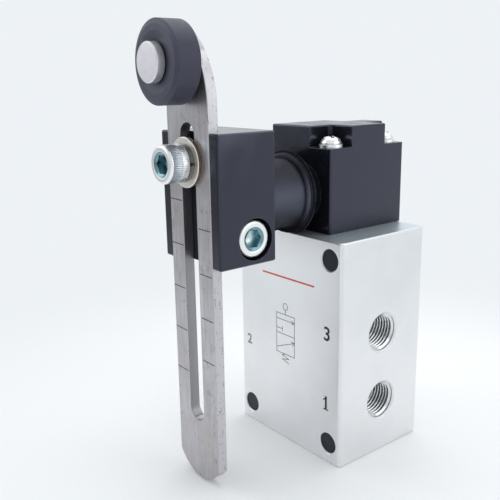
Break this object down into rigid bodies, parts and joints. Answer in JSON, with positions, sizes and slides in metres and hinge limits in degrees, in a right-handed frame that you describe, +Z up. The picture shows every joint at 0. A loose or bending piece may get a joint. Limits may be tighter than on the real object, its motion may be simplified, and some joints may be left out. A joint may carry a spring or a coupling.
{
  "type": "mechanical control valve",
  "caption": "Pneumatic control valve: aluminium port block, black lever head, and a clamp-on slotted arm of adjustable length with a roller at its end.",
  "frame": {"origin": "middle of the valve body's lower end", "axes": "+Z up along the body and the arm, +X out of the supply and return ports, -Y towards the lever"},
  "size_m": [0.039, 0.0691, 0.1078],
  "materials": {
    "body_aluminium": "satin",
    "black_casting": "satin",
    "black_plastic": "satin",
    "roller_plastic": "matte",
    "zinc_plated": "gloss",
    "stainless": "satin",
    "arm_stainless": "satin",
    "spring_steel": "satin",
    "brass": "satin",
    "seal_rubber": "matte"
  },
  "bodies": {
    "housing": {"valve_body": "body_aluminium", "corner_plugs": "black_plastic", "bottom_plug": "brass", "bottom_plug_seal": "seal_rubber", "bottom_snap_ring": "spring_steel", "supply_seat": "brass", "supply_seat_seal": "seal_rubber", "guide_bush": "brass", "pin_seal": "seal_rubber", "return_spring": "spring_steel", "head_housing": "black_casting", "head_screws": "zinc_plated", "head_washers": "zinc_plated", "shaft_seal": "seal_rubber", "front_bush": "brass", "rear_bush": "brass"},
    "plunger": {"push_pin": "stainless", "exhaust_seal": "seal_rubber", "poppet": "brass", "poppet_seal": "seal_rubber"},
    "shaft": {"lever_shaft": "stainless", "shaft_rings": "spring_steel"},
    "hub": {"lever_hub": "black_casting", "clamp_screw": "zinc_plated", "flat_washer": "zinc_plated", "spring_washer": "zinc_plated", "arm_screw": "zinc_plated"},
    "arm": {"lever_arm": "arm_stainless", "roller_pin": "stainless", "roller_spacer": "stainless"},
    "roller": {"roller": "roller_plastic", "roller_bush": "brass"}
  },
  "joints": [
    {"name": "lever_swing", "type": "hinge", "parent": "housing", "child": "shaft", "pos_m": [0, 0, 0.0678], "axis": [0, 1, 0], "range_deg": [0, 30]},
    {"name": "hub_set", "type": "hinge", "parent": "shaft", "child": "hub", "pos_m": [0, 0, 0.0678], "axis": [0, 1, 0], "continuous": true},
    {"name": "arm_slide", "type": "slide", "parent": "hub", "child": "arm", "axis": [0, 0, 1], "range_m": [-0.006, 0.0595]},
    {"name": "roller_spin", "type": "hinge", "parent": "arm", "child": "roller", "pos_m": [0, -0.048, 0.099], "axis": [0, 1, 0], "continuous": true},
    {"name": "plunger_slide", "type": "slide", "parent": "housing", "child": "plunger", "axis": [0, 0, -1], "range_m": [0, 0.00199], "stiffness_N_per_m": 1200, "springref_m": -0.003, "deforming": ["return_spring"]}
  ],
  "couplings": [
    {"joint": "lever_swing", "follows": "plunger_slide", "rad_per_m": 262.5}
  ]
}
